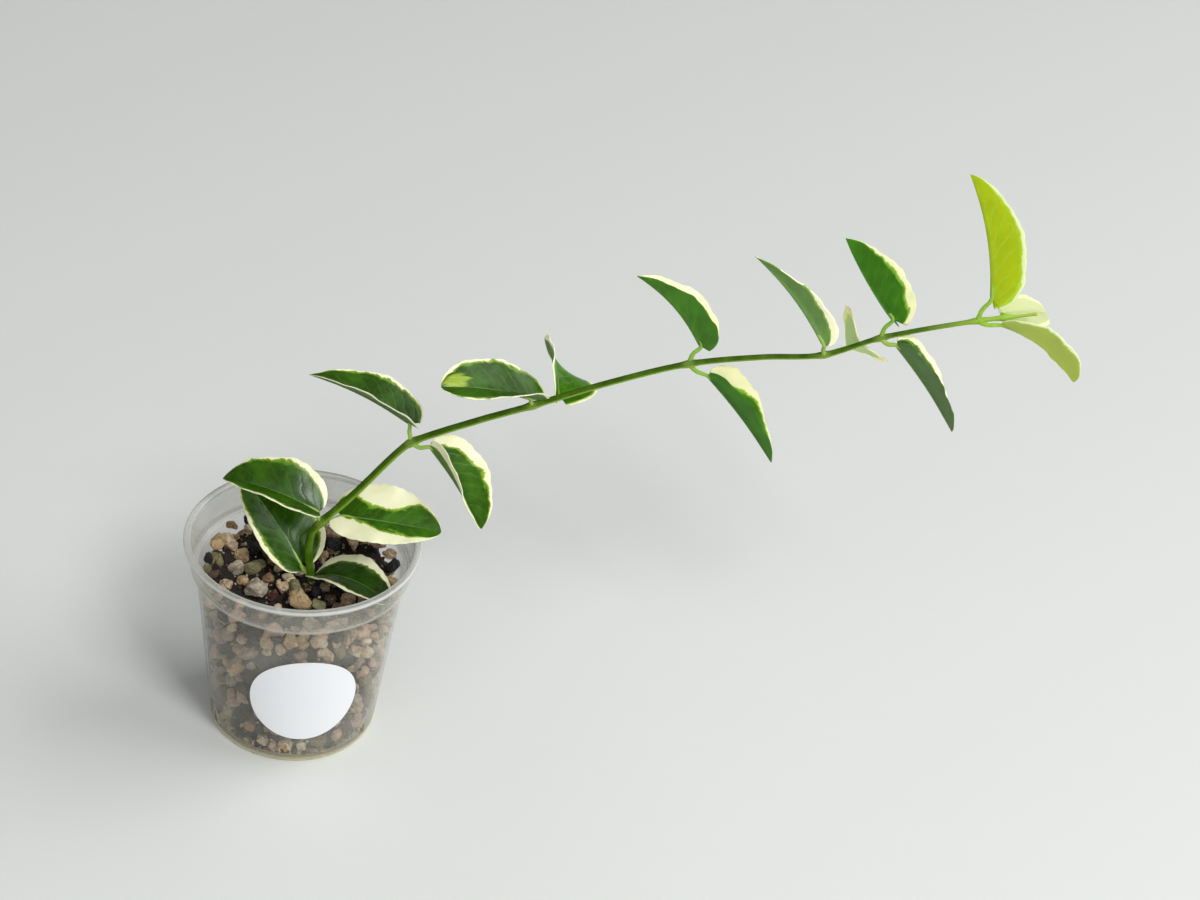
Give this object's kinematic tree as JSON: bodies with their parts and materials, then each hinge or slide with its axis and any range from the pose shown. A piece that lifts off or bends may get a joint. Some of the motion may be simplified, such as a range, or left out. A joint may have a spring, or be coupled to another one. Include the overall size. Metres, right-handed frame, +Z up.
{
  "type": "potted variegated hoya cumingiana",
  "caption": "Young variegated climbing vine arching to one side out of a small clear tapered nursery pot filled with pumice potting mix.",
  "frame": {"origin": "centre of the pot's underside, on the surface that it stands on", "axes": "+Z up; the vine arches out of the pot and leans towards +X; the label faces roughly -Y"},
  "size_m": [0.2643, 0.0756, 0.2243],
  "materials": {
    "clear_plastic": "thin milky clear plastic, slightly scuffed, glossy",
    "label_paper": "matt white paper, blank",
    "potting_mix": "dry tan pumice grains among dark bark and charcoal",
    "stem": "satin green stem, yellower underneath and near the mix",
    "root": "matt pale roots",
    "leaf_variegated": "waxy green leaf with irregular cream margins",
    "leaf_young": "thin bright yellow-green young leaf with a pale rim"
  },
  "bodies": {
    "root": {"pot": "clear_plastic", "label": "label_paper", "potting_mix": "potting_mix", "stem": "stem", "roots": "root", "leaf_a": "leaf_variegated", "leaf_b": "leaf_variegated", "leaf_c": "leaf_variegated", "leaf_d": "leaf_variegated", "leaf_e": "leaf_variegated", "leaf_f": "leaf_variegated", "leaf_g": "leaf_variegated", "leaf_h": "leaf_variegated", "leaf_i": "leaf_variegated", "leaf_j": "leaf_variegated", "leaf_k": "leaf_variegated", "leaf_l": "leaf_variegated", "leaf_m": "leaf_variegated", "leaf_n": "leaf_variegated", "leaf_o": "leaf_young", "leaf_p": "leaf_young", "leaf_q": "leaf_young"}
  },
  "joints": []
}
